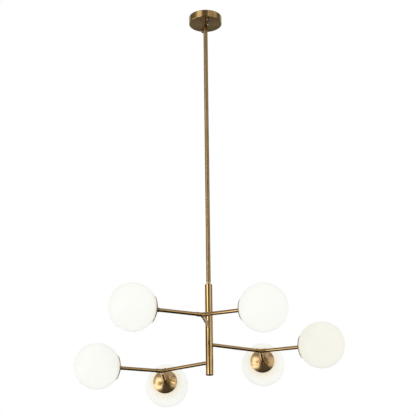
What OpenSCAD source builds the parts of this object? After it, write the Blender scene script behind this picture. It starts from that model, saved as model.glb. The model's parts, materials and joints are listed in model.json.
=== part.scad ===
// Branching ceiling chandelier: six opal globes on three forked arms that leave a
// vertical tube, hung from a round canopy by three screwed rods. Millimetres.
// The origin lies in the ceiling plane on the rods' axis, with +Z up, so that the
// whole light hangs at negative Z. The globe centre is the local origin of a light.

/* [Globes] */
// Outside diameter of an opal globe
globe_d = 150; // [130:1:180]
// Glass thickness of a globe
globe_wall = 2.5; // [2:0.1:4]
// Wall of the threaded ring that is cemented into a globe's mouth
ring_wall = 5; // [4:0.5:7]
// Length of the threaded ring
ring_len = 9; // [7:0.5:11]

/* [Cups] */
// Diameter of a spun cup at its rim
cup_rim_d = 82.5; // [72:0.5:100]
// Sheet thickness of a cup
cup_wall = 1.2; // [0.8:0.1:2]
// Gap between a cup and its globe
cup_gap = 1; // [0.6:0.1:2]
// Diameter of the collar that hides the end of an arm
collar_d = 14.5; // [14:0.1:18]
// Length of that collar
collar_len = 8; // [5:0.5:20]

/* [Lampholders] */
// Diameter of the threaded skirt that carries the globe
skirt_d = 40; // [36:0.5:44]
// Height of the threaded skirt
skirt_h = 13; // [11:0.5:15]
// Diameter of the lampholder's barrel
barrel_d = 27; // [24:0.5:32]
// Height of the barrel above the skirt
barrel_h = 28; // [24:0.5:34]
// Diameter of the boss that seats on the cup
boss_d = 14; // [13:0.5:18]
// Diameter of the lamp cap, such as that of a candelabra screw cap
lamp_cap_d = 11.8; // [11:0.1:14]
// Length of the lamp cap inside the socket
lamp_cap_h = 18; // [14:0.5:20]
// Largest diameter of the candle lamp
lamp_d = 35; // [28:0.5:37]
// Length of the candle lamp above its cap
lamp_h = 72; // [50:1:80]
// Glass thickness of the candle lamp
lamp_wall = 1.2; // [0.8:0.1:2]
// Bore between the arm's tip and the socket
holder_bore_d = 5; // [4:0.1:6]

/* [Arms] */
// Distance from the tube's axis to the middle of a fork
stem_reach = 191; // [150:1:260]
// Distance from the middle of a fork to the centre of a globe
arm_reach = 230; // [190:1:300]
// Outside diameter of stems and arms
tube_d = 12; // [11.5:0.1:13]
// Wall of stems and arms
tube_wall = 1.2; // [0.8:0.1:1.6]
// Diameter of the threaded tip at the end of an arm
tip_d = 9.7; // [9:0.1:10]
// Length of the threaded tip beyond the cup
tip_len = 9; // [6:0.5:10]
// Bore for the leads through every threaded tip and nipple
lead_bore_d = 6.4; // [5:0.1:7]
// Angle between the stem's line and each arm
fork_angle = 60; // [50:1:75]
// Outside diameter of a fork's sleeves
fork_d = 14; // [13.8:0.1:17]
// Length of a sleeve from the fork's middle
fork_reach = 19; // [17:0.5:30]
// How much wider than the sleeves and bores the fork's middle is
fork_ball_extra = 1; // [0.6:0.1:2]
// Distance from the fork's middle to the tubes' ends
fork_seat = 9; // [8:0.5:12]

/* [Branches] */
// Direction of the top, middle and lowest branch about the tube
branch_turn = [-96.5, 25.6, 147.6]; // [-180:0.1:180]
// Tilt of each branch about its own stem
branch_roll = [-2.5, 1.4, 0.7]; // [-5:0.1:5]
// Angle that the stems droop below level
stem_droop = 1.8; // [0:0.1:5]
// Further angle that the arms droop
arm_droop = 0.7; // [0:0.1:3]
// Height of the lowest stem above the tube's lower end
branch_first_h = 41.5; // [30:0.5:60]
// Height from one stem to the next
branch_pitch = 59.3; // [50:0.1:80]

/* [Central tube] */
// Outside diameter of the central tube
body_d = 25; // [23:0.5:32]
// Wall of the central tube
body_wall = 1.5; // [1:0.1:2.5]
// Length of the central tube with both its caps
body_len = 304; // [260:1:400]
// Thickness of the top cap's shoulder
top_cap_t = 3; // [2:0.1:5]
// Thickness of the lower cap's face
low_cap_t = 2; // [1.5:0.1:4]
// Length of each cap's plug inside the tube
plug_len = 10; // [6:0.5:14]
// Chamfer of the top cap
top_chamfer = 1.5; // [0.5:0.1:1.8]
// Chamfer of the lower cap
low_chamfer = 0.6; // [0.3:0.1:1.2]
// Diameter of the neck between the rod and the central tube
neck_d = 13.4; // [12.6:0.1:15]
// Length of that neck
neck_len = 9; // [6:0.5:20]

/* [Rods] */
// Outside diameter of the rods
rod_d = 15; // [14:0.1:16]
// Wall of the rods
rod_wall = 1.5; // [1:0.1:2]
// Length of the short rod under the canopy
stub_len = 158; // [100:1:300]
// Length of each long rod
rod_len = 406; // [200:1:600]
// Length of the tapped end inside a rod
tap_len = 14; // [12:0.5:20]
// Chamfer on the rods' ends
rod_chamfer = 0.5; // [0.2:0.1:1]
// Diameter of the nipples that join the rods
nipple_d = 9.7; // [9.2:0.1:10]
// Length of a nipple on each side of a joint
nipple_reach = 11; // [8:0.5:12]

/* [Canopy] */
// Outside diameter of the canopy
canopy_d = 118; // [112:1:150]
// Depth of the canopy
canopy_h = 27; // [26.5:0.5:31]
// Sheet thickness of the canopy
canopy_wall = 1.2; // [0.8:0.1:1.6]
// Radius of the canopy's lower edge
canopy_edge_r = 3; // [2:0.1:6]
// Distance between the two ball nuts
ball_nut_spacing = 88.9; // [80:0.1:96]
// Direction of the ball nut on the near side
ball_nut_turn = -78; // [-90:1:-45]
// Diameter of a ball nut
ball_nut_d = 12.5; // [10:0.1:14]
// Height of a ball nut below the canopy
ball_nut_h = 11; // [9:0.1:12]
// Diameter of the canopy's two screws
canopy_screw_d = 4.2; // [3.8:0.1:5]

/* [Ceiling bars] */
// Thickness of each ceiling bar
bar_t = 2; // [1.5:0.1:2.5]
// Width of each ceiling bar
bar_w = 16; // [14:0.5:20]
// Gap from a bar's end to the canopy's wall
bar_end_gap = 5; // [3:0.5:6]
// Distance between the slots that take the ceiling box's screws
box_slot_spacing = 69.85; // [66:0.05:72]
// Width of a slot
box_slot_w = 5; // [4.5:0.1:6]
// Length of a slot, end to end
box_slot_len = 16; // [12:0.5:18]
// Height of the lock nut on the ceiling nipple
lock_nut_h = 3.5; // [2.5:0.1:5]
// Width of the lock nut across its flats
lock_nut_af = 16; // [14:0.5:19]

/* [Swivel] */
// Largest tilt of the rods in the swivel
tilt_limit = 15; // [10:1:18]
// Thickness of the yoke's top plate
yoke_top_t = 3; // [2:0.1:3.5]
// Thickness of each ear of the yoke
yoke_ear_t = 2.5; // [2:0.1:3.5]
// Distance between the yoke's ears
yoke_gap = 15; // [14:0.1:17]
// Thickness of the nipple's shoulder, and of its flared end
flange_t = 1.5; // [1.2:0.1:1.8]
// Diameter of that shoulder and of the flared end
flange_d = 13; // [12:0.1:13.5]
// Diameter of the journal that the yoke turns on
journal_d = 9; // [8.6:0.1:9.2]
// Diameter of the knuckle that tilts between the ears
knuckle_d = 10; // [9.6:0.1:10.4]
// Diameter of the two pivot screws
pivot_d = 4; // [3:0.1:4.5]
// Diameter of the pivot screws' heads
pivot_head_d = 7; // [6:0.1:8]
// Height of those heads
pivot_head_h = 2; // [1.5:0.1:2.5]
// Metal left between a pivot hole and the leads' bore
knuckle_skin = 0.6; // [0.4:0.1:1]
// Free height above the knuckle
knuckle_headroom = 3.9; // [3:0.1:4]
// Direction of the two pivot screws
pivot_turn = 24; // [-90:1:90]

/* [Clearances] */
// Radial clearance of a turning fit
turn_gap = 0.08; // [0.05:0.01:0.1]
// Axial clearance beside a turning piece
side_gap = 0.3; // [0.2:0.05:0.5]
// Radial clearance of a screwed or brazed fit
fit_gap = 0.05; // [0.03:0.01:0.1]
// Radial clearance round a screw in a plain hole
screw_gap = 0.3; // [0.2:0.05:0.5]
// Free gap between the tilted rod and the canopy's hole
canopy_hole_gap = 0.5; // [0.3:0.1:1.5]

/* [Hidden] */
$fn = 96;
branch_count = len(branch_turn);
light_count = 2 * branch_count;
numbers_b = [for (b = [1:branch_count]) b];
numbers_l = [for (k = [1:light_count]) k];

cut = 1; // how far a cutting tool runs past the face that it cuts
lamp_belly = 0.4; // height of the candle lamp's widest place, as a share of its length
lamp_steps = 16; // steps in the candle lamp's outline

// Colours
aged_brass = [0.62, 0.48, 0.27];
bright_brass = [0.74, 0.6, 0.36];
opal_glass = [0.97, 0.97, 0.93];
zinc_steel = [0.66, 0.67, 0.68];
phenolic = [0.9, 0.88, 0.83];
aluminium = [0.78, 0.79, 0.8];

// Heights from the ceiling plane down through the bars and the swivel
bars_z = -2 * bar_t;
yoke_z = bars_z - flange_t - side_gap;
flare_z = yoke_z - yoke_top_t - side_gap;
pivot_z = flare_z - flange_t - knuckle_headroom - knuckle_d / 2;
rod_top_z = pivot_z - knuckle_d / 2 - side_gap;
yoke_ear_w = knuckle_d;

// Heights of the joints between the rods and the central tube
stub_end_z = rod_top_z - stub_len;
upper_end_z = stub_end_z - rod_len;
lower_end_z = upper_end_z - rod_len;
body_top_z = lower_end_z - neck_len;
body_low_z = body_top_z - body_len;
rod_joints = [stub_end_z, upper_end_z, lower_end_z];

// Sizes of a light, measured from the globe's centre
globe_r = globe_d / 2;
cup_in_r = globe_r + cup_gap;
cup_out_r = cup_in_r + cup_wall;
cup_rim_z = -sqrt(pow(cup_out_r, 2) - pow(cup_rim_d / 2, 2));
boss_z = -sqrt(pow(cup_in_r, 2) - pow(boss_d / 2, 2)) + fit_gap;
skirt_z = -sqrt(pow(cup_in_r, 2) - pow(skirt_d / 2, 2)) + side_gap;
barrel_z = skirt_z + skirt_h;
socket_z = barrel_z + barrel_h;
ring_in_d = skirt_d + 2 * turn_gap;
ring_out_d = ring_in_d + 2 * ring_wall;
mouth_d = ring_out_d + 2 * fit_gap;
ring_z = -sqrt(pow(globe_r, 2) - pow(mouth_d / 2, 2)) - side_gap;

// Clear radius of the canopy's hole for the rod at its largest tilt
canopy_hole_r = (rod_d / 2 + (canopy_h + pivot_z) * sin(tilt_limit)) / cos(tilt_limit)
    + canopy_hole_gap;

function branch_z(b) = body_low_z + branch_first_h + (branch_count - b) * branch_pitch;
function branch_of(k) = ceil(k / 2);
function side_of(k) = k % 2 == 1 ? -1 : 1;

// Puts the stem's line on local +X, at the stem's height
module at_branch(b) {
    translate([0, 0, branch_z(b)]) rotate([0, 0, branch_turn[b - 1]])
        rotate([0, stem_droop, 0]) rotate([branch_roll[b - 1], 0, 0]) children();
}

// Puts an arm's line on local +Z, from the fork's middle outwards
module along_arm(side) {
    translate([stem_reach, 0, 0]) rotate([0, arm_droop, 0]) rotate([0, 0, side * fork_angle])
        rotate([0, 90, 0]) children();
}

// Puts the centre of globe k at the local origin, with local +Z away from its fork
module at_light(k) {
    at_branch(branch_of(k)) along_arm(side_of(k)) translate([0, 0, arm_reach]) children();
}

// A tube on local +Z between two heights
module pipe(d, bore, z0, z1) {
    difference() {
        translate([0, 0, z0]) cylinder(d = d, h = z1 - z0);
        translate([0, 0, z0 - cut]) cylinder(d = bore, h = z1 - z0 + 2 * cut);
    }
}

// A rod with chamfered ends, bored along its middle and tapped at both ends
module rod(z_top, length) {
    r = rod_d / 2;
    c = rod_chamfer;
    translate([0, 0, z_top - length]) difference() {
        rotate_extrude() polygon([
            [0, 0], [r - c, 0], [r, c], [r, length - c], [r - c, length], [0, length]
        ]);
        translate([0, 0, -cut]) cylinder(d = nipple_d + 2 * fit_gap, h = length + 2 * cut);
        translate([0, 0, tap_len]) cylinder(r = r - rod_wall, h = length - 2 * tap_len);
    }
}

// A flat ceiling bar on local X with round ends and a hole for the nipple
module bar(z_top) {
    half = canopy_d / 2 - canopy_wall - bar_end_gap;
    translate([0, 0, z_top - bar_t]) difference() {
        union() {
            translate([-half + bar_w / 2, -bar_w / 2, 0]) cube([2 * half - bar_w, bar_w, bar_t]);
            for (side = [-1, 1]) translate([side * (half - bar_w / 2), 0, 0])
                cylinder(d = bar_w, h = bar_t);
        }
        translate([0, 0, -cut]) cylinder(d = nipple_d + 2 * screw_gap, h = bar_t + 2 * cut);
    }
}

// The two places of the canopy screws
module at_canopy_screws() {
    rotate([0, 0, ball_nut_turn]) for (side = [-1, 1])
        translate([side * ball_nut_spacing / 2, 0, 0]) children();
}

// Bar that is screwed to the ceiling box through its two slots
module box_bar() {
    straight = box_slot_len - box_slot_w;
    color(zinc_steel) difference() {
        bar(0);
        for (side = [-1, 1]) translate([side * box_slot_spacing / 2, 0, -bar_t - cut]) {
            translate([-straight / 2, -box_slot_w / 2, 0]) cube([straight, box_slot_w, bar_t + 2 * cut]);
            for (end = [-1, 1]) translate([end * straight / 2, 0, 0])
                cylinder(d = box_slot_w, h = bar_t + 2 * cut);
        }
    }
}

// Bar that holds the canopy's screws, free to be turned under the other before it is locked
module canopy_bar() {
    color(zinc_steel) difference() {
        rotate([0, 0, ball_nut_turn]) bar(-bar_t);
        at_canopy_screws() translate([0, 0, bars_z - cut])
            cylinder(d = canopy_screw_d + 2 * fit_gap, h = bar_t + 2 * cut);
    }
}

// Hollow nipple that locks both bars and carries the yoke on its flared end
module ceiling_nipple() {
    head_z = lock_nut_h + cut;
    color(zinc_steel) difference() {
        union() {
            translate([0, 0, bars_z]) cylinder(d = nipple_d, h = head_z - bars_z);
            translate([0, 0, bars_z - flange_t]) cylinder(d = flange_d, h = flange_t);
            translate([0, 0, flare_z]) cylinder(d = journal_d, h = bars_z - flange_t - flare_z);
            translate([0, 0, flare_z - flange_t]) cylinder(d = flange_d, h = flange_t);
        }
        translate([0, 0, flare_z - flange_t - cut])
            cylinder(d = lead_bore_d, h = head_z - flare_z + flange_t + 2 * cut);
    }
}

// Hexagon nut that locks the nipple on top of the bars
module lock_nut() {
    color(bright_brass) difference() {
        cylinder(d = lock_nut_af / cos(30), h = lock_nut_h, $fn = 6);
        translate([0, 0, -cut]) cylinder(d = nipple_d + 2 * fit_gap, h = lock_nut_h + 2 * cut);
    }
}

// Two long screws that stand down from the canopy bar
module canopy_screws() {
    end_z = -canopy_h - ball_nut_h / 2;
    color(zinc_steel) at_canopy_screws() {
        translate([0, 0, end_z]) cylinder(d = canopy_screw_d, h = -bar_t - end_z);
        translate([0, 0, -bar_t]) cylinder(d = 1.8 * canopy_screw_d, h = bar_t);
    }
}

// Outline of a pan with a round lower edge, from its axis outwards
module pan_outline(r, depth, edge_r) {
    translate([0, -depth]) {
        square([r - edge_r, depth]);
        translate([0, edge_r]) square([r, depth - edge_r]);
        translate([r - edge_r, edge_r]) circle(r = edge_r);
    }
}

// Spun pan that covers the ceiling box
module canopy() {
    color(aged_brass) difference() {
        rotate_extrude() difference() {
            pan_outline(canopy_d / 2, canopy_h, canopy_edge_r);
            translate([0, cut]) pan_outline(canopy_d / 2 - canopy_wall, canopy_h + cut - canopy_wall,
                canopy_edge_r - canopy_wall);
        }
        translate([0, 0, -canopy_h - cut]) cylinder(r = canopy_hole_r, h = canopy_wall + 2 * cut);
        at_canopy_screws() translate([0, 0, -canopy_h - cut])
            cylinder(d = canopy_screw_d + 2 * screw_gap, h = canopy_wall + 2 * cut);
    }
}

// Two ball nuts with a narrow neck against the canopy
module ball_nuts() {
    r = ball_nut_d / 2;
    neck_r = 0.72 * r;
    color(bright_brass) at_canopy_screws() translate([0, 0, -canopy_h]) difference() {
        union() {
            translate([0, 0, -ball_nut_h + r]) sphere(r = r);
            translate([0, 0, -ball_nut_h + r]) cylinder(r = neck_r, h = ball_nut_h - r);
        }
        cylinder(r = ball_nut_d, h = ball_nut_d);
        translate([0, 0, -ball_nut_h / 2 - fit_gap])
            cylinder(d = canopy_screw_d + 2 * fit_gap, h = ball_nut_h);
    }
}

// Puts the pivot screws' line on local X, through the local origin
module at_pivot() {
    translate([0, 0, pivot_z]) rotate([0, 0, pivot_turn]) children();
}

// Yoke that turns about the vertical on the nipple's journal
module swivel_yoke() {
    half = yoke_gap / 2 + yoke_ear_t;
    top = yoke_z - pivot_z;
    color(bright_brass) at_pivot() difference() {
        union() {
            translate([-half, -yoke_ear_w / 2, top - yoke_top_t]) cube([2 * half, yoke_ear_w, yoke_top_t]);
            translate([0, 0, top - yoke_top_t]) cylinder(d = flange_d, h = yoke_top_t);
            for (x = [-half, yoke_gap / 2]) {
                translate([x, -yoke_ear_w / 2, 0]) cube([yoke_ear_t, yoke_ear_w, top]);
                translate([x, 0, 0]) rotate([0, 90, 0]) cylinder(d = yoke_ear_w, h = yoke_ear_t);
            }
        }
        cylinder(d = journal_d + 2 * turn_gap, h = top + cut);
        translate([-half - cut, 0, 0]) rotate([0, 90, 0])
            cylinder(d = pivot_d + 2 * fit_gap, h = 2 * half + 2 * cut);
    }
}

// Two pivot screws, one from each ear into the knuckle, clear of the leads' bore
module swivel_screws() {
    inner = lead_bore_d / 2 + knuckle_skin + side_gap;
    outer = yoke_gap / 2 + yoke_ear_t;
    color(zinc_steel) at_pivot() for (side = [-1, 1]) rotate([0, side * 90, 0]) {
        translate([0, 0, inner]) cylinder(d = pivot_d, h = outer - inner);
        translate([0, 0, outer]) cylinder(d = pivot_head_d, h = pivot_head_h);
    }
}

// Knuckle that tilts between the ears, with the threaded neck that the rods hang on
module swivel_knuckle() {
    length = yoke_gap - 2 * side_gap;
    neck = pivot_z - rod_top_z + nipple_reach;
    color(bright_brass) at_pivot() difference() {
        union() {
            translate([-length / 2, 0, 0]) rotate([0, 90, 0]) cylinder(d = knuckle_d, h = length);
            translate([0, 0, -neck]) cylinder(d = nipple_d, h = neck);
        }
        translate([0, 0, -neck - cut]) cylinder(d = lead_bore_d, h = neck + knuckle_d);
        for (side = [-1, 1]) rotate([0, side * 90, 0])
            translate([0, 0, lead_bore_d / 2 + knuckle_skin])
                cylinder(d = pivot_d + 2 * turn_gap, h = yoke_gap);
    }
}

module stub_rod() color(aged_brass) rod(rod_top_z, stub_len);

module upper_rod() color(aged_brass) rod(stub_end_z, rod_len);

module lower_rod() color(aged_brass) rod(upper_end_z, rod_len);

// Nipples across the three joints below the canopy
module rod_nipples() {
    color(zinc_steel) for (z = rod_joints)
        pipe(nipple_d, lead_bore_d, z - nipple_reach, z + nipple_reach);
}

// Outline of a cap that is plugged into one end of the central tube
module cap_outline(face_t, chamfer) {
    r = body_d / 2;
    plug_r = r - body_wall - fit_gap;
    polygon([
        [0, -plug_len], [plug_r, -plug_len], [plug_r, 0], [r, 0],
        [r, face_t - chamfer], [r - chamfer, face_t], [0, face_t]
    ]);
}

// Cap and neck that join the lower rod to the central tube
module tube_top_cap() {
    color(aged_brass) translate([0, 0, body_top_z - top_cap_t]) difference() {
        union() {
            rotate_extrude() cap_outline(top_cap_t, top_chamfer);
            cylinder(d = neck_d, h = top_cap_t + neck_len);
        }
        translate([0, 0, -plug_len - cut])
            cylinder(d = nipple_d + 2 * fit_gap, h = plug_len + top_cap_t + neck_len + 2 * cut);
    }
}

// Central tube with a hole for each stem
module central_tube() {
    color(aged_brass) difference() {
        pipe(body_d, body_d - 2 * body_wall, body_low_z + low_cap_t, body_top_z - top_cap_t);
        for (b = numbers_b) at_branch(b) rotate([0, 90, 0])
            cylinder(d = tube_d + 2 * fit_gap, h = body_d);
    }
}

module tube_low_cap() {
    color(aged_brass) translate([0, 0, body_low_z + low_cap_t]) rotate([180, 0, 0])
        rotate_extrude() cap_outline(low_cap_t, low_chamfer);
}

// Stem from inside the central tube's wall to the fork
module stem(b) {
    color(aged_brass) at_branch(b) rotate([0, 90, 0])
        pipe(tube_d, tube_d - 2 * tube_wall, body_d / 2 - body_wall - 2, stem_reach - fork_seat);
}

// Fork: three sleeves that meet in a ball, bored for the tubes and the leads
module fork(b) {
    socket_d = tube_d + 2 * fit_gap;
    color(aged_brass) at_branch(b) difference() {
        union() {
            translate([stem_reach, 0, 0]) sphere(d = fork_d + fork_ball_extra);
            translate([stem_reach - fork_reach, 0, 0]) rotate([0, 90, 0]) cylinder(d = fork_d, h = fork_reach);
            for (side = [-1, 1]) along_arm(side) cylinder(d = fork_d, h = fork_reach);
        }
        translate([stem_reach - fork_reach - cut, 0, 0]) rotate([0, 90, 0])
            cylinder(d = socket_d, h = fork_reach - fork_seat + cut);
        translate([stem_reach - fork_reach, 0, 0]) rotate([0, 90, 0])
            cylinder(d = lead_bore_d, h = fork_reach);
        translate([stem_reach, 0, 0]) sphere(d = lead_bore_d + fork_ball_extra);
        for (side = [-1, 1]) along_arm(side) {
            translate([0, 0, fork_seat]) cylinder(d = socket_d, h = fork_reach - fork_seat + cut);
            cylinder(d = lead_bore_d, h = fork_reach);
        }
    }
}

// Arm from the fork to its cup, with a threaded tip that passes into the lampholder
module arm(k) {
    start = fork_seat - arm_reach;
    shoulder = -cup_out_r;
    tip_end = -cup_in_r + tip_len;
    color(aged_brass) at_light(k) difference() {
        union() {
            translate([0, 0, start]) cylinder(d = tube_d, h = shoulder - start);
            translate([0, 0, shoulder]) cylinder(d = tip_d, h = tip_end - shoulder);
        }
        translate([0, 0, start - cut])
            cylinder(d = tube_d - 2 * tube_wall, h = shoulder - start - collar_len + cut);
        translate([0, 0, start]) cylinder(d = lead_bore_d, h = tip_end - start + cut);
    }
}

// Collars that hide the arms' ends
module arm_collars() {
    color(aged_brass) for (k = numbers_l) at_light(k)
        pipe(collar_d, tube_d + 2 * fit_gap, -cup_out_r - collar_len, -cup_out_r);
}

// Spun cup that follows the globe's curve
module cup(k) {
    color(aged_brass) at_light(k) intersection() {
        difference() {
            sphere(r = cup_out_r);
            sphere(r = cup_in_r);
            translate([0, 0, -cup_out_r - cut]) cylinder(d = tip_d + 2 * fit_gap, h = cup_out_r);
        }
        translate([0, 0, -cup_out_r - cut]) cylinder(d = cup_rim_d + cut, h = cup_out_r + cut + cup_rim_z);
    }
}

// Lampholder: a boss on the cup, the threaded skirt and the socket's barrel
module lampholder(k) {
    color(phenolic) at_light(k) difference() {
        union() {
            translate([0, 0, boss_z]) cylinder(d = boss_d, h = skirt_h);
            translate([0, 0, skirt_z]) cylinder(d = skirt_d, h = skirt_h);
            translate([0, 0, barrel_z]) cylinder(d = barrel_d, h = barrel_h);
        }
        translate([0, 0, boss_z - cut]) cylinder(d = tip_d + 2 * fit_gap, h = tip_len + fit_gap + cut);
        translate([0, 0, boss_z]) cylinder(d = holder_bore_d, h = skirt_h + barrel_h);
        translate([0, 0, socket_z - lamp_cap_h]) cylinder(d = lamp_cap_d + 2 * fit_gap, h = lamp_cap_h + cut);
    }
}

// Half-width of the candle lamp at a height given as a share of its length
function lamp_r(t) = t < lamp_belly
    ? lamp_cap_d / 2 + (lamp_d - lamp_cap_d) / 2 * sin(90 * t / lamp_belly)
    : lamp_d / 2 * cos(90 * (t - lamp_belly) / (1 - lamp_belly));

// Outline of the candle lamp's glass, drawn in by the given wall
function lamp_outline(wall) = [
    for (i = [0:lamp_steps]) [max(0, lamp_r(i / lamp_steps) - wall), wall + (lamp_h - 2 * wall) * i / lamp_steps]
];

// Candle lamp: hollow glass on its screw cap
module lamp(k) {
    color(opal_glass) at_light(k) translate([0, 0, socket_z]) {
        translate([0, 0, -lamp_cap_h]) cylinder(d = lamp_cap_d, h = lamp_cap_h);
        rotate_extrude() difference() {
            polygon(concat([[0, 0]], lamp_outline(0)));
            polygon(concat([[0, lamp_wall]], lamp_outline(lamp_wall)));
        }
    }
}

// Threaded ring in the globe's mouth, which turns on the lampholder's skirt
module globe_ring(k) {
    color(aluminium) at_light(k) pipe(ring_out_d, ring_in_d, ring_z, ring_z + ring_len);
}

// Opal globe with a round mouth towards its cup
module globe(k) {
    color(opal_glass) at_light(k) difference() {
        sphere(r = globe_r);
        sphere(r = globe_r - globe_wall);
        translate([0, 0, -globe_r - cut]) cylinder(d = mouth_d, h = globe_r);
    }
}

box_bar();
canopy_bar();
ceiling_nipple();
lock_nut();
canopy_screws();
canopy();
ball_nuts();
swivel_yoke();
swivel_screws();
swivel_knuckle();
stub_rod();
upper_rod();
lower_rod();
rod_nipples();
tube_top_cap();
central_tube();
tube_low_cap();
for (b = numbers_b) stem(b);
for (b = numbers_b) fork(b);
for (k = numbers_l) arm(k);
arm_collars();
for (k = numbers_l) cup(k);
for (k = numbers_l) lampholder(k);
for (k = numbers_l) lamp(k);
for (k = numbers_l) globe_ring(k);
for (k = numbers_l) globe(k);
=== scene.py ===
import json
import math

import bpy
from mathutils import Matrix, Vector


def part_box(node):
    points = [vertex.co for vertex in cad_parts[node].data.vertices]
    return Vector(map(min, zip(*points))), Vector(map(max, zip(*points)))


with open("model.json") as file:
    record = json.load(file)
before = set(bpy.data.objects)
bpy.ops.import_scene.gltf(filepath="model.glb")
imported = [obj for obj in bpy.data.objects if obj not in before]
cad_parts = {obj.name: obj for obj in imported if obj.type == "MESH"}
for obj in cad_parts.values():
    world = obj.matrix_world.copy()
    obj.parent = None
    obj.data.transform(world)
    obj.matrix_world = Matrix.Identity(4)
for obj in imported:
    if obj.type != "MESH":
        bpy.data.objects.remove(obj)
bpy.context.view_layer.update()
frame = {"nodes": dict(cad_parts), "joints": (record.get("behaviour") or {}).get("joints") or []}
nodes = frame["nodes"]
joints = {joint["name"]: joint for joint in frame["joints"]}

MM = 0.001
LIGHTS = range(1, 7)
BRANCHES = range(1, 4)
ORIGIN = Vector((0, 0, 0))
UP = Vector((0, 0, 1))

# A Mix node's sockets for two colours and their mix, which share their names with its other sockets.
COLOUR_A, COLOUR_B, MIXED_COLOUR = 6, 7, 2
# Nearly all values of a noise texture lie between these.
NOISE_LOW, NOISE_HIGH = 0.3, 0.7


def linear(hex_colour):
    """An sRGB hex colour, such as C4A470, as linear red, green, blue and alpha."""
    channels = [int(hex_colour[i:i + 2], 16) / 255 for i in (0, 2, 4)]
    return [c / 12.92 if c <= 0.04045 else ((c + 0.055) / 1.055) ** 2.4 for c in channels] + [1.0]


def add(tree, kind, inputs=None, **settings):
    """Adds a node to a tree. Each input takes either a plain value or a link from another socket."""
    node = tree.nodes.new(kind)
    for name, value in settings.items():
        setattr(node, name, value)
    for socket, value in (inputs or {}).items():
        if isinstance(value, bpy.types.NodeSocket):
            tree.links.new(value, node.inputs[socket])
        else:
            node.inputs[socket].default_value = value
    return node


def set_stops(ramp, stops):
    """Gives a colour ramp its stops, each a position and a linear colour."""
    while len(ramp.elements) < len(stops):
        ramp.elements.new(1.0)
    for element, (position, colour) in zip(ramp.elements, stops):
        element.position = position
        element.color = colour


def noise_scale(size_mm):
    """The scale of a noise texture whose patches have about this real size."""
    return 1 / (size_mm * MM)


def blank_material(name):
    """A new material with only its output left in its node tree."""
    material = bpy.data.materials.new(name)
    material.use_nodes = True
    tree = material.node_tree
    tree.nodes.clear()
    return material, tree, tree.nodes.new("ShaderNodeOutputMaterial")


def finish_node(name, material):
    """Gives a CAD node its finish."""
    mesh = nodes[name].data
    for slot in nodes[name].material_slots:
        slot.material = material
    if not mesh.materials:
        mesh.materials.append(material)


# ---------------------------------------------------------------- where the pieces' axes lie

def light_axis(light):
    """Centre of a light's globe, and the direction from its fork outwards."""
    joint = joints[f"globe_{light}_turn"]
    return Vector(joint["pos_m"]), Vector(joint["axis"]).normalized()


def middle(name):
    """Middle of a CAD node's box."""
    low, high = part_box(name)
    return (low + high) / 2


def stem_axis(branch):
    """Middle of a branch's fork, and the direction of its stem away from the central tube."""
    root = Vector((0, 0, middle(f"stem_{branch}").z))
    places = [Vector(vertex.co) for vertex in nodes[f"stem_{branch}"].data.vertices]
    outer = max(places, key=lambda place: place.xy.length)
    return middle(f"fork_{branch}"), (outer - root).normalized()


def measured_from_axis(tree, point, axis):
    """Three sockets: a place on the surface, its offset from a point on the piece's axis, and how
    far along the axis it lies."""
    place = add(tree, "ShaderNodeTexCoord").outputs["Object"]
    offset = add(tree, "ShaderNodeVectorMath", {0: place, 1: point}, operation="SUBTRACT").outputs[0]
    along = add(tree, "ShaderNodeVectorMath", {0: offset, 1: axis}, operation="DOT_PRODUCT")
    return place, offset, along.outputs["Value"]


# ---------------------------------------------------------------- brass

# Noise values where the brass is at its brownest, at its usual tone and rubbed to its palest.
BATH_STOPS = (0.32, 0.5, 0.72)
# How bright the darkest and palest rings are, against the brass around them.
RING_TONES = (0.96, 1.03)
# Share of the place itself in the rings' noise. It breaks them up, so that none runs right round.
RING_DRIFT = 0.05
RING_DEPTH_MM = 0.01
# How much duller the brown clouds are than the mean, and how much glossier the rubbed ones.
CLOUD_ROUGHNESS = 0.03
LACQUER_ROUGHNESS = 0.1
# Painted shade on the cups: a dark reflection of the room painted into the colour towards the rim, as
# distances along the axis from the globe's centre to where the painted darkening starts and to the rim, and
# how bright the brass is there.
CUP_PAINTED_SHADE_MM = (-67.5, -64.0)
PAINTED_RIM_TONE = 0.35


def across_scratches(tree, offset, axis, lengthwise):
    """The direction across the fine scratches, in which a highlight spreads. They run round the axis
    on turned and spun pieces, and along it on pieces brushed lengthwise."""
    around = add(tree, "ShaderNodeVectorMath", {0: axis, 1: offset}, operation="CROSS_PRODUCT")
    around_in_world = add(tree, "ShaderNodeVectorTransform", {0: around.outputs[0]},
                          vector_type="VECTOR", convert_from="OBJECT", convert_to="WORLD").outputs[0]
    if lengthwise:
        return around_in_world
    normal = add(tree, "ShaderNodeNewGeometry").outputs["Normal"]
    across = add(tree, "ShaderNodeVectorMath", {0: around_in_world, 1: normal}, operation="CROSS_PRODUCT")
    return across.outputs[0]


def ring_lines(tree, place, offset, along, axis, line_mm):
    """Fine uneven rings about an axis, as a noise over the distance along it and out from it."""
    around = add(tree, "ShaderNodeVectorMath", {0: offset, 1: axis}, operation="CROSS_PRODUCT")
    outward = add(tree, "ShaderNodeVectorMath", {0: around.outputs[0]}, operation="LENGTH")
    ring = add(tree, "ShaderNodeCombineXYZ", {0: along, 1: outward.outputs["Value"]})
    drift = add(tree, "ShaderNodeVectorMath", {0: place, "Scale": RING_DRIFT}, operation="SCALE")
    mixed = add(tree, "ShaderNodeVectorMath", {0: ring.outputs[0], 1: drift.outputs[0]}, operation="ADD")
    lines = add(tree, "ShaderNodeTexNoise", {
        "Vector": mixed.outputs[0], "Scale": noise_scale(line_mm), "Detail": 2.0, "Roughness": 0.6})
    return lines.outputs["Fac"]


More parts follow.
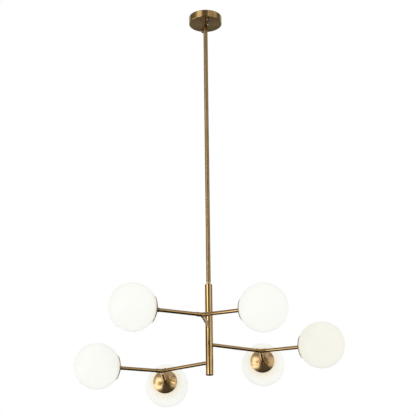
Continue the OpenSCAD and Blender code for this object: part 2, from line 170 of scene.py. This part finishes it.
def lathed_brass(name, point, axis, deep, body, rubbed, roughness, stretch, line_mm, cloud_mm,
                 lacquer=1.0, lacquer_ior=1.85, lengthwise=False, painted_shade_mm=None):
    """Brass that was turned, drawn or spun, aged in a brown bath and rubbed back under a clear
    lacquer. The eye sees a satin brown-gold whose highlights spread across the rings. Deep is what
    is left of the bath, and rubbed is where the cloth cut through to lighter metal."""
    material, tree, output = blank_material(name)
    place, offset, along = measured_from_axis(tree, point, axis)
    clouds = add(tree, "ShaderNodeTexNoise", {
        "Vector": place, "Scale": noise_scale(cloud_mm), "Detail": 3.0, "Roughness": 0.55}).outputs["Fac"]
    lines = ring_lines(tree, place, offset, along, axis, line_mm)
    aged = add(tree, "ShaderNodeValToRGB", {0: clouds})
    set_stops(aged.color_ramp, list(zip(BATH_STOPS, (linear(deep), linear(body), linear(rubbed)))))
    streaks = add(tree, "ShaderNodeMapRange", {
        "Value": lines, "From Min": NOISE_LOW, "From Max": NOISE_HIGH,
        "To Min": RING_TONES[0], "To Max": RING_TONES[1]})
    colour = add(tree, "ShaderNodeVectorMath", {0: aged.outputs[0], "Scale": streaks.outputs[0]},
                 operation="SCALE")
    # Painted shade: the colour darkens towards the cup's rim, standing in for the dark room that the rim
    # reflects.
    if painted_shade_mm:
        painted_rim_shade = add(tree, "ShaderNodeMapRange", {
            "Value": along, "From Min": painted_shade_mm[0] * MM, "From Max": painted_shade_mm[1] * MM,
            "To Min": 1.0, "To Max": PAINTED_RIM_TONE}, interpolation_type="SMOOTHSTEP")
        colour = add(tree, "ShaderNodeVectorMath", {0: colour.outputs[0], "Scale": painted_rim_shade.outputs[0]},
                     operation="SCALE")
    rough = add(tree, "ShaderNodeMapRange", {
        "Value": clouds, "From Min": NOISE_LOW, "From Max": NOISE_HIGH,
        "To Min": roughness + CLOUD_ROUGHNESS, "To Max": roughness - CLOUD_ROUGHNESS})
    relief = add(tree, "ShaderNodeBump", {
        "Height": lines, "Strength": 0.15, "Distance": RING_DEPTH_MM * MM})
    shader = add(tree, "ShaderNodeBsdfPrincipled", {
        "Base Color": colour.outputs[0], "Roughness": rough.outputs[0], "Normal": relief.outputs[0],
        "Tangent": across_scratches(tree, offset, axis, lengthwise)})
    shader.inputs["Metallic"].default_value = 1.0
    shader.inputs["Anisotropic"].default_value = stretch
    shader.inputs["Coat Weight"].default_value = lacquer
    shader.inputs["Coat Roughness"].default_value = LACQUER_ROUGHNESS
    shader.inputs["Coat IOR"].default_value = lacquer_ior
    tree.links.new(shader.outputs[0], output.inputs[0])
    return material


# Drawn brass tube: satin, with rings too fine to see one by one. They are drawn 0.9 mm apart, since
# real ones of 0.05 mm would not show.
TUBE = dict(deep="B48B44", body="BF964A", rubbed="C79F55", roughness=0.09, stretch=0.65,
            line_mm=0.9, cloud_mm=48)
# The stems, forks and arms come a little browner than the central tube.
ARM = dict(TUBE, deep="A87E3B", body="B48A42", rubbed="BC924B")
# Spun brass sheet: the rings that the tool left on the chuck stretch each highlight into a fan.
# They are drawn 1.1 mm apart, coarser than real ones.
SPUN = dict(deep="C09650", body="CCA25A", rubbed="D4AA64", roughness=0.24, stretch=0.85,
            line_mm=1.1, cloud_mm=40, lacquer_ior=2.1)
# The canopy's spun pan stayed longer in the bath and has a thinner lacquer.
PAN = dict(SPUN, deep="A07E44", body="AC8A4C", rubbed="B39154", lacquer=0.35)
# The rods are brushed lengthwise and browner, so the room smears round them.
ROD = dict(deep="91723A", body="9A7A40", rubbed="A08147", roughness=0.36, stretch=0.8,
           line_mm=0.9, cloud_mm=48, lacquer=0.6, lengthwise=True)
# The small collars at the arms' ends and the ball nuts are drawn deep brown: partly their own patina,
# partly painted shade, for they sit in shadow and reflect the dark room.
SMALL_PATINA_AND_SHADE = dict(TUBE, deep="5A4424", body="745A32", rubbed="8E7244")

tube_brass = lathed_brass("aged_brass_upright_tube", ORIGIN, UP, **TUBE)
for name in ("tube_top_cap", "central_tube", "tube_low_cap"):
    finish_node(name, tube_brass)
rod_brass = lathed_brass("aged_brass_brushed_rod", ORIGIN, UP, **ROD)
for name in ("stub_rod", "upper_rod", "lower_rod"):
    finish_node(name, rod_brass)
finish_node("canopy", lathed_brass("aged_brass_spun_canopy", ORIGIN, UP, **PAN))
for branch in BRANCHES:
    fork, outwards = stem_axis(branch)
    finish_node(f"stem_{branch}", lathed_brass(f"aged_brass_stem_tube_{branch}", fork, outwards, **ARM))
    finish_node(f"fork_{branch}", lathed_brass(f"aged_brass_fork_{branch}", fork, UP, **ARM))
for light in LIGHTS:
    centre, outwards = light_axis(light)
    finish_node(f"arm_{light}", lathed_brass(f"aged_brass_arm_tube_{light}", centre, outwards, **ARM))
    # Each cup gets painted shade along its rim.
    cup_brass = lathed_brass(f"aged_brass_spun_cup_{light}", centre, outwards, painted_shade_mm=CUP_PAINTED_SHADE_MM, **SPUN)
    finish_node(f"cup_{light}", cup_brass)
# Painted shade: the deep brown of the collars and ball nuts is partly patina, partly shade painted into the
# colour.
small_brass_patina_and_shade = lathed_brass("aged_brass_small_turned", ORIGIN, UP, **SMALL_PATINA_AND_SHADE)
for name in ("arm_collars", "ball_nuts"):
    finish_node(name, small_brass_patina_and_shade)

# ---------------------------------------------------------------- glass

# Colours between which the milk drifts. The third globe is drawn a little warmer and darker than the
# others.
MILK = {light: ("FAFBF4", "FCFDF8") for light in LIGHTS}
MILK[3] = ("F7F5E9", "F9F8EE")
MILK_DRIFT_MM = 60
# Painted reflected light: a cream glow painted by the mouth, where the brass throws warm light onto the
# glass, and the distances along the light's axis, from the globe's centre, between which it fades into the
# milk.
PAINTED_BRASS_GLOW = "F9F0DB"
PAINTED_GLOW_FADE_MM = (-66, -40)
# Very shallow waves, as the mould leaves them.
WAVE_MM = 35
WAVE_DEPTH_MM = 0.15
# How strong the glass's clear reflection is, well below a polished face.
OPAL_SHEEN = 0.12


def blown_opal_glass(name, centre, axis, milk_pair):
    """Opal glass, blown in a mould and milky white all through. The eye sees an even soft white with
    very faint gloss and waves. Towards the mouth a cream glow is painted into the colour: painted light
    that the brass reflects onto the glass."""
    material, tree, output = blank_material(name)
    place, _, along = measured_from_axis(tree, centre, axis)
    drift = add(tree, "ShaderNodeTexNoise", {
        "Vector": place, "Scale": noise_scale(MILK_DRIFT_MM), "Detail": 2.0})
    milk = add(tree, "ShaderNodeMix", {0: drift.outputs["Fac"]}, data_type="RGBA")
    milk.inputs[COLOUR_A].default_value = linear(milk_pair[0])
    milk.inputs[COLOUR_B].default_value = linear(milk_pair[1])
    from_mouth = add(tree, "ShaderNodeMapRange", {
        "Value": along, "From Min": PAINTED_GLOW_FADE_MM[0] * MM, "From Max": PAINTED_GLOW_FADE_MM[1] * MM},
        interpolation_type="SMOOTHSTEP")
    # Painted light: the cream glow by the mouth stands in for light reflected from the brass cup.
    painted_glow_colour = add(tree, "ShaderNodeMix", {
        0: from_mouth.outputs[0], COLOUR_B: milk.outputs[MIXED_COLOUR]}, data_type="RGBA")
    painted_glow_colour.inputs[COLOUR_A].default_value = linear(PAINTED_BRASS_GLOW)
    waves = add(tree, "ShaderNodeTexNoise", {"Vector": place, "Scale": noise_scale(WAVE_MM), "Detail": 1.0})
    relief = add(tree, "ShaderNodeBump", {
        "Height": waves.outputs["Fac"], "Strength": 0.2, "Distance": WAVE_DEPTH_MM * MM})
    shader = add(tree, "ShaderNodeBsdfPrincipled", {
        "Base Color": painted_glow_colour.outputs[MIXED_COLOUR], "Normal": relief.outputs[0]})
    shader.inputs["Roughness"].default_value = 0.45
    shader.inputs["IOR"].default_value = 1.5
    shader.inputs["Specular IOR Level"].default_value = OPAL_SHEEN
    tree.links.new(shader.outputs[0], output.inputs[0])
    return material


for light in LIGHTS:
    centre, outwards = light_axis(light)
    opal = blown_opal_glass(f"blown_opal_glass_{light}", centre, outwards, MILK[light])
    finish_node(f"globe_{light}", opal)

# ---------------------------------------------------------------- hidden pieces

# How much the gloss of a grained surface swings about its mean roughness.
GRAIN_ROUGHNESS = 0.05


def grained(name, dark, pale, grain_mm, roughness, metallic, relief_mm, ior=None):
    """A plain worked surface whose colour, gloss and relief vary a little over grains of one size."""
    material, tree, output = blank_material(name)
    place = add(tree, "ShaderNodeTexCoord").outputs["Object"]
    grain = add(tree, "ShaderNodeTexNoise", {
        "Vector": place, "Scale": noise_scale(grain_mm), "Detail": 4.0}).outputs["Fac"]
    colour = add(tree, "ShaderNodeMix", {0: grain}, data_type="RGBA")
    colour.inputs[COLOUR_A].default_value = linear(dark)
    colour.inputs[COLOUR_B].default_value = linear(pale)
    gloss = add(tree, "ShaderNodeMapRange", {
        "Value": grain, "From Min": NOISE_LOW, "From Max": NOISE_HIGH,
        "To Min": roughness - GRAIN_ROUGHNESS, "To Max": roughness + GRAIN_ROUGHNESS})
    relief = add(tree, "ShaderNodeBump", {"Height": grain, "Strength": 0.3, "Distance": relief_mm * MM})
    shader = add(tree, "ShaderNodeBsdfPrincipled", {
        "Base Color": colour.outputs[MIXED_COLOUR], "Roughness": gloss.outputs[0],
        "Normal": relief.outputs[0]})
    shader.inputs["Metallic"].default_value = metallic
    if ior:
        shader.inputs["IOR"].default_value = ior
    tree.links.new(shader.outputs[0], output.inputs[0])
    return material


# Moulded cream phenolic: dense and slightly glossy, with a faint swirl from the press.
phenolic = grained("moulded_cream_phenolic", "E2DACB", "EDE7DA", grain_mm=6, roughness=0.38,
                   metallic=0.0, relief_mm=0.02, ior=1.55)
# Acid-frosted soda-lime glass of the candle lamps: pale and matt.
frosted = grained("acid_frosted_lamp_glass", "ECEDE8", "F4F5F1", grain_mm=1.5, roughness=0.55,
                  metallic=0.0, relief_mm=0.02, ior=1.5)
# Turned aluminium of the rings in the globes' mouths: grey-white and dull.
aluminium = grained("turned_aluminium", "B7B9BA", "CFD0D1", grain_mm=1.2, roughness=0.38,
                    metallic=1.0, relief_mm=0.01)
# Zinc-plated pressed steel: cool grey with soft spangles.
zinc = grained("zinc_plated_steel", "A4A8AB", "BFC3C6", grain_mm=4, roughness=0.36,
               metallic=1.0, relief_mm=0.02)
# Brass as it comes from the machine: plain yellow, for the swivel and the lock nut.
raw_brass = grained("machined_raw_brass", "C2A15C", "D8BA78", grain_mm=2, roughness=0.28,
                    metallic=1.0, relief_mm=0.01)

for light in LIGHTS:
    finish_node(f"globe_ring_{light}", aluminium)
    finish_node(f"lampholder_{light}", phenolic)
    finish_node(f"lamp_{light}", frosted)
for name in ("box_bar", "canopy_bar", "ceiling_nipple", "canopy_screws", "swivel_screws", "rod_nipples"):
    finish_node(name, zinc)
for name in ("lock_nut", "swivel_yoke", "swivel_knuckle"):
    finish_node(name, raw_brass)

# ---------------------------------------------------------------- camera, as the photograph was taken

CAMERA_AT_MM = Vector((-5.43, -3517.66, -1979.70))
# How far the camera looks up, to the right, and rolls, in degrees.
PITCH_DEG, YAW_DEG, ROLL_DEG = 19.506, 0.110, -0.708
LENS_MM = 94.63
FILM_WIDTH_MM = 36


def place_camera():
    """A level camera at its pitch and yaw, then rolled about the direction that it looks in."""
    pitch, yaw, roll = (math.radians(angle) for angle in (PITCH_DEG, YAW_DEG, ROLL_DEG))
    forward = Vector((math.sin(yaw) * math.cos(pitch), math.cos(yaw) * math.cos(pitch), math.sin(pitch)))
    level_right = forward.cross(UP).normalized()
    level_up = level_right.cross(forward)
    right = math.cos(roll) * level_right + math.sin(roll) * level_up
    above = math.cos(roll) * level_up - math.sin(roll) * level_right
    data = bpy.data.cameras.new("camera")
    data.sensor_width = FILM_WIDTH_MM
    data.lens = LENS_MM
    camera = bpy.data.objects.new("camera", data)
    bpy.context.scene.collection.objects.link(camera)
    turned = Matrix((right, above, -forward)).transposed().to_4x4()
    camera.matrix_world = Matrix.Translation(CAMERA_AT_MM * MM) @ turned
    bpy.context.scene.camera = camera


place_camera()

# ---------------------------------------------------------------- studio

# Soft lamps: azimuth in degrees from the camera's side to the right, then distance, height, width
# and tallness in metres, brightness, and how many metres below its own height a lamp aims.
SOFT_LAMPS = {
    "left_soft_lamp": (-50, 3.2, -0.2, 1.6, 2.2, 0.12, 0.0),
    "top_soft_lamp": (30, 2.4, 2.4, 1.6, 1.6, 0.12, 2.6),
}
# Light that matt surfaces get from all sides.
EVEN_LIGHT = 1.0
# Strength at which the background is plain white.
WHITE = 1.0
# Brightness that fills the room where nothing stands, by height above the horizon in degrees.
ROOM = ((-90, 0.01), (-55, 0.02), (-30, 0.08), (-5, 0.05), (24, 0.08), (45, 0.42), (80, 0.6), (90, 0.6))
# What stands in the room for the metal to show: azimuth and half its width, height and half its
# tallness, all in degrees, then brightness. Azimuth 0 is the camera's side and + is to the right.
PANELS = {
    "left_softbox": (-42, 17, 3, 26, 2.0),
    "left_fill": (-48, 28, 4, 30, 0.4),
    "low_left_wall": (-82, 17, -12, 14, 2.8),
    "right_softbox": (49, 25, 6, 23, 0.85),
    "right_wall": (80, 14, 14, 34, 0.4),
    "narrow_window": (22, 4, 34, 10, 1.1),
    "spot_lamp": (34, 4, 7, 3, 4.5),
    "back_left_softbox": (-140, 14, 4, 26, 0.9),
    "back_right_softbox": (140, 14, 4, 26, 0.9),
    "far_floor": (180, 50, -36, 12, 0.17),
    "white_backdrop": (180, 12, 20, 12, 0.92),
}
# Share of its half size over which a panel fades, on each side of its edge.
SOFT_EDGE = 0.32
# The floor, in metres: a round board far below the hanging light.
FLOOR_RADIUS = 0.6
FLOOR_HEIGHT = -7.5
FLOOR_SIDES = 96


def hang_soft_lamp(name, azimuth, distance, height, width, tall, brightness, drop):
    """A rectangular lamp that faces the light's axis and doesn't show itself."""
    data = bpy.data.lights.new(name, "AREA")
    data.shape = "RECTANGLE"
    data.size = width
    data.size_y = tall
    data.energy = brightness * math.pi * width * tall
    lamp = bpy.data.objects.new(name, data)
    bpy.context.scene.collection.objects.link(lamp)
    turn = math.radians(azimuth)
    place = Vector((math.sin(turn) * distance, -math.cos(turn) * distance, height))
    aim = Vector((0, 0, height - drop)) - place
    lamp.matrix_world = Matrix.Translation(place) @ aim.to_track_quat("-Z", "Y").to_matrix().to_4x4()
    lamp.visible_camera = False


def inside(tree, angle, centre_deg, half_deg, wraps=False):
    """1 where an angle is within half_deg of a centre, and softly 0 outside."""
    away = add(tree, "ShaderNodeMath", {0: angle, 1: math.radians(centre_deg)}, operation="SUBTRACT")
    if wraps:
        away = add(tree, "ShaderNodeMath", {0: away.outputs[0], 1: math.pi, 2: -math.pi}, operation="WRAP")
    off = add(tree, "ShaderNodeMath", {0: away.outputs[0]}, operation="ABSOLUTE")
    half = math.radians(half_deg)
    fade = half * SOFT_EDGE
    within = add(tree, "ShaderNodeMapRange", {
        "Value": off.outputs[0], "From Min": half - fade, "From Max": half + fade,
        "To Min": 1.0, "To Max": 0.0}, interpolation_type="SMOOTHSTEP")
    return within.outputs[0]


def room_brightness(tree):
    """How bright the room is in each direction: its fill by height, and its panels on top of that."""
    direction = add(tree, "ShaderNodeTexCoord").outputs["Generated"]
    parts = add(tree, "ShaderNodeSeparateXYZ", {0: direction})
    towards_camera = add(tree, "ShaderNodeMath", {0: parts.outputs["Y"], 1: -1.0}, operation="MULTIPLY")
    azimuth = add(tree, "ShaderNodeMath", {0: parts.outputs["X"], 1: towards_camera.outputs[0]},
                  operation="ARCTAN2").outputs[0]
    elevation = add(tree, "ShaderNodeMath", {0: parts.outputs["Z"]}, operation="ARCSINE").outputs[0]
    by_height = add(tree, "ShaderNodeMapRange", {
        "Value": elevation, "From Min": -math.pi / 2, "From Max": math.pi / 2})
    fill = add(tree, "ShaderNodeValToRGB", {0: by_height.outputs[0]})
    set_stops(fill.color_ramp, [((height + 90) / 180, (level, level, level, 1)) for height, level in ROOM])
    brightness = fill.outputs[0]
    for at_azimuth, half_width, at_height, half_height, level in PANELS.values():
        across = inside(tree, azimuth, at_azimuth, half_width, wraps=True)
        up_down = inside(tree, elevation, at_height, half_height)
        shape = add(tree, "ShaderNodeMath", {0: across, 1: up_down}, operation="MULTIPLY")
        brightness = add(tree, "ShaderNodeMath", {0: shape.outputs[0], 1: level, 2: brightness},
                         operation="MULTIPLY_ADD").outputs[0]
    return brightness


def light_studio():
    """The world: plain white to the camera and through glass, the room in whatever reflects, and an
    even light on matt surfaces."""
    world = bpy.data.worlds.new("studio")
    bpy.context.scene.world = world
    world.use_nodes = True
    tree = world.node_tree
    tree.nodes.clear()
    ray = add(tree, "ShaderNodeLightPath")
    seen = add(tree, "ShaderNodeMath", {
        0: ray.outputs["Is Camera Ray"], 1: ray.outputs["Is Transmission Ray"]}, operation="MAXIMUM")
    on_object = add(tree, "ShaderNodeMix", {
        "Factor": ray.outputs["Is Glossy Ray"], "A": EVEN_LIGHT, "B": room_brightness(tree)})
    strength = add(tree, "ShaderNodeMix", {
        "Factor": seen.outputs[0], "A": on_object.outputs[0], "B": WHITE})
    background = add(tree, "ShaderNodeBackground", {"Strength": strength.outputs[0]})
    background.inputs["Color"].default_value = (1, 1, 1, 1)
    add(tree, "ShaderNodeOutputWorld", {0: background.outputs[0]})


def lay_floor():
    """A pale matt board."""
    bpy.ops.mesh.primitive_circle_add(vertices=FLOOR_SIDES, radius=FLOOR_RADIUS, fill_type="NGON",
                                      location=(0, 0, FLOOR_HEIGHT))
    floor = bpy.context.object
    floor.name = "pale_floor"
    board, tree, output = blank_material("pale_matt_board")
    matt = add(tree, "ShaderNodeBsdfPrincipled")
    matt.inputs["Base Color"].default_value = linear("EDEBE6")
    matt.inputs["Roughness"].default_value = 0.9
    tree.links.new(matt.outputs[0], output.inputs[0])
    floor.data.materials.append(board)


for name, settings in SOFT_LAMPS.items():
    hang_soft_lamp(name, *settings)
light_studio()
lay_floor()
bpy.context.scene.view_settings.view_transform = "Standard"
